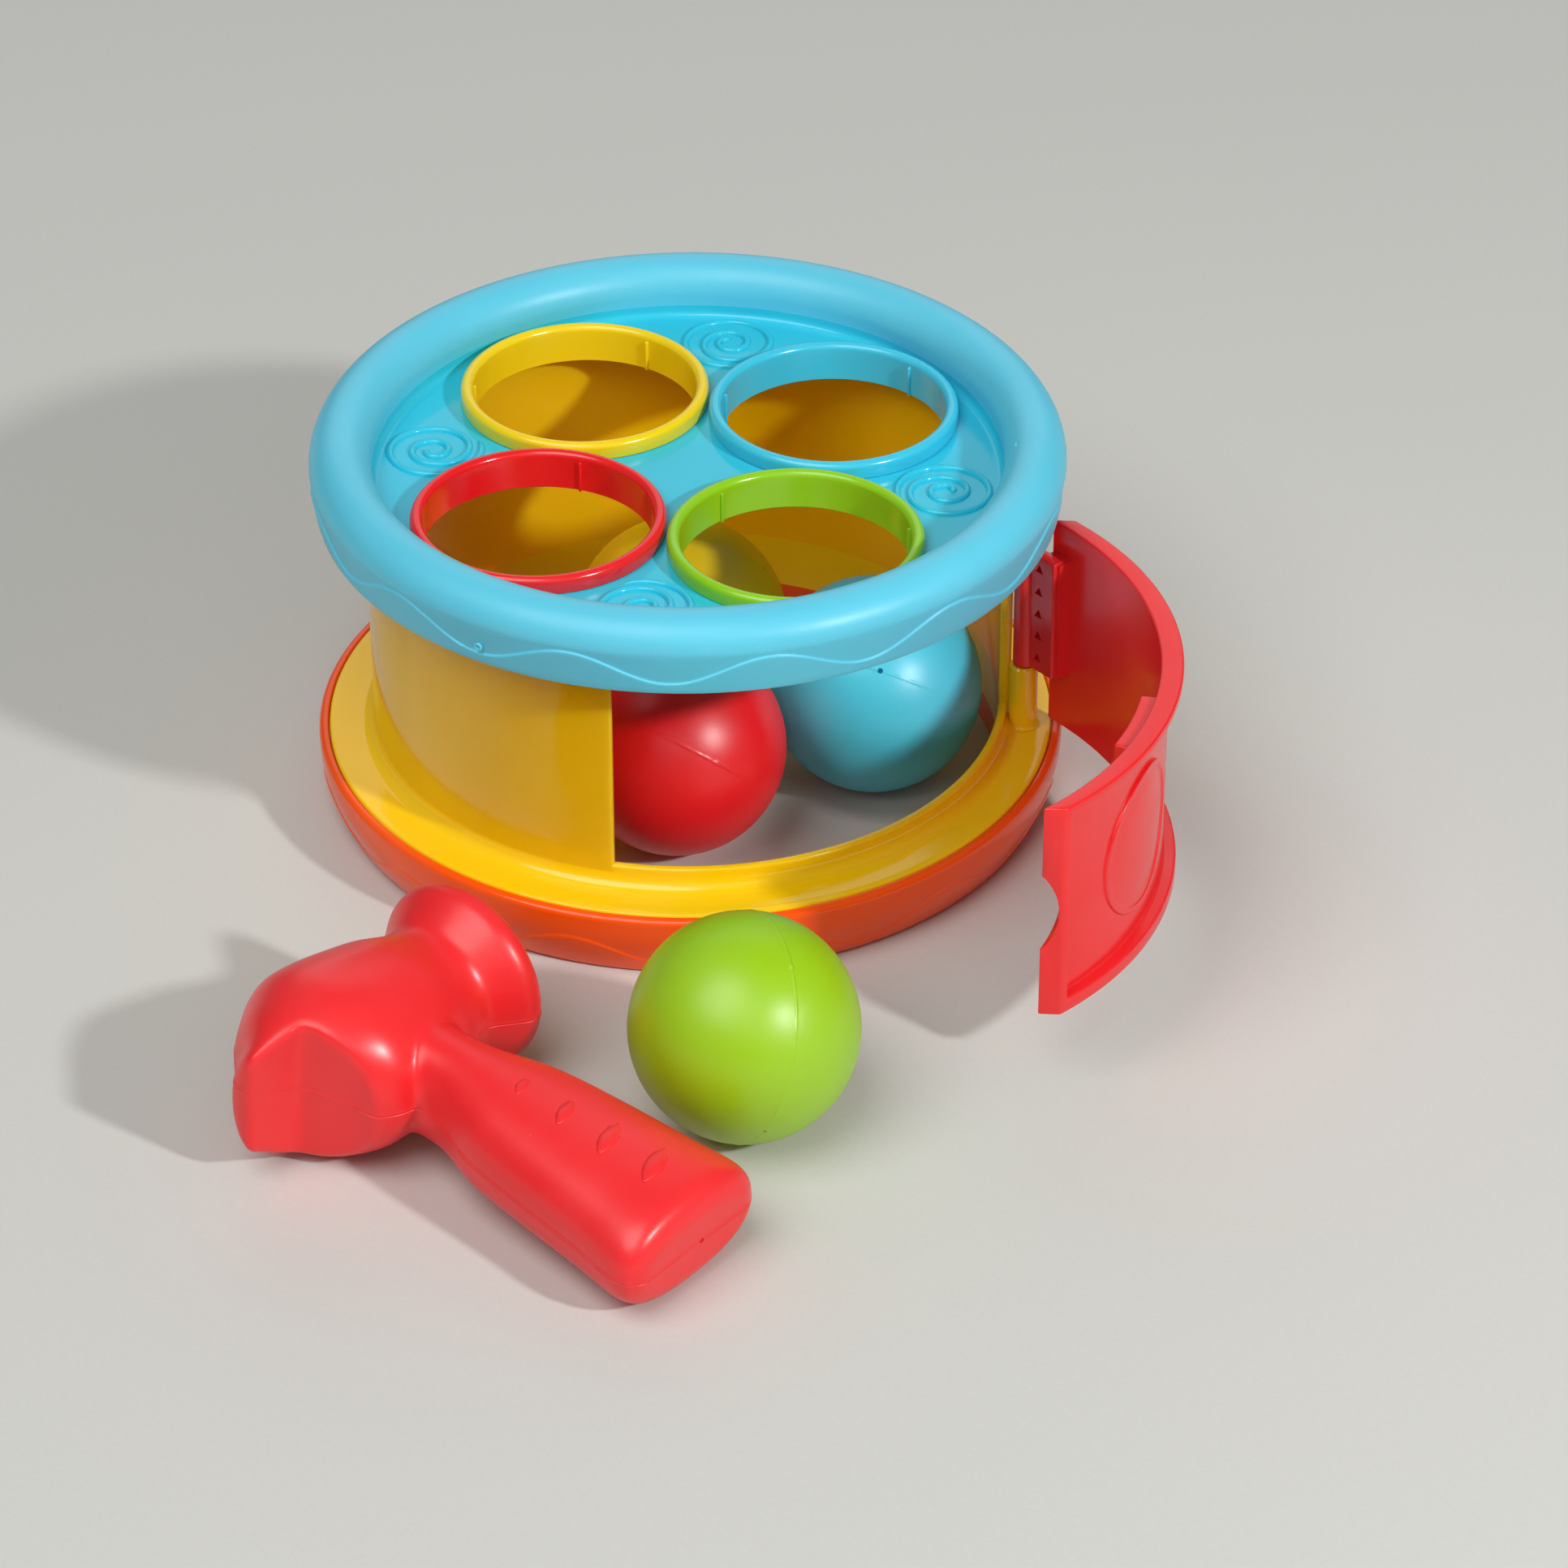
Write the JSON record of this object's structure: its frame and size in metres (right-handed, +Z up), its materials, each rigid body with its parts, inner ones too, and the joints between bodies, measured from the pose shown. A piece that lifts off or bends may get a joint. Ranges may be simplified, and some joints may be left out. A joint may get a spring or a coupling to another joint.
{
  "type": "ball drop pounding toy",
  "caption": "Round plastic drum toy with collared ball holes in its top tray, a curved swing door, loose balls and a toy hammer for knocking the balls through.",
  "frame": {"origin": "on the drum's vertical axis, at the surface that the base ring stands on", "axes": "+Z up along the drum's axis, -Y out through the middle of the doorway, +X towards the hinged side of the doorway"},
  "size_m": [0.2315, 0.226, 0.0842],
  "materials": {
    "blue_plastic": "moulded, satin on the rolled rim and glossy elsewhere",
    "yellow_plastic": "moulded, glossy",
    "orange_plastic": "moulded, glossy",
    "red_plastic": "moulded, soft gloss",
    "green_plastic": "moulded, glossy",
    "screw_steel": "bright plated"
  },
  "bodies": {
    "drum": {"top_tray": "blue_plastic", "ring_green": "green_plastic", "ring_blue": "blue_plastic", "ring_yellow": "yellow_plastic", "ring_red": "red_plastic", "drum_wall": "yellow_plastic", "base_ring": "orange_plastic", "base_screws": "screw_steel"},
    "door": {"door": "red_plastic"},
    "ball_red": {"ball_red": "red_plastic"},
    "ball_blue": {"ball_blue": "blue_plastic"},
    "ball_yellow": {"ball_yellow": "yellow_plastic"},
    "ball_green": {"ball_green": "green_plastic"},
    "hammer": {"hammer": "red_plastic"}
  },
  "joints": [
    {"name": "door_swing", "type": "hinge", "parent": "drum", "child": "door", "pos_m": [0.05288, -0.04597, 0.045], "axis": [0, 0, 1], "range_deg": [-50.5, 100]},
    {"name": "ball_red_lift", "type": "slide", "parent": "drum", "child": "ball_red", "axis": [0, 0, 1], "range_m": [0, 0.021]},
    {"name": "ball_blue_lift", "type": "slide", "parent": "drum", "child": "ball_blue", "axis": [0, 0, 1], "range_m": [0, 0.021]},
    {"name": "ball_yellow_lift", "type": "slide", "parent": "drum", "child": "ball_yellow", "axis": [0, 0, 1], "range_m": [0, 0.021]},
    {"name": "ball_green_lift", "type": "slide", "parent": "drum", "child": "ball_green", "axis": [0, 0, 1], "range_m": [0, 0.12]},
    {"name": "hammer_lift", "type": "slide", "parent": "drum", "child": "hammer", "axis": [0, 0, 1], "range_m": [0, 0.15]}
  ]
}
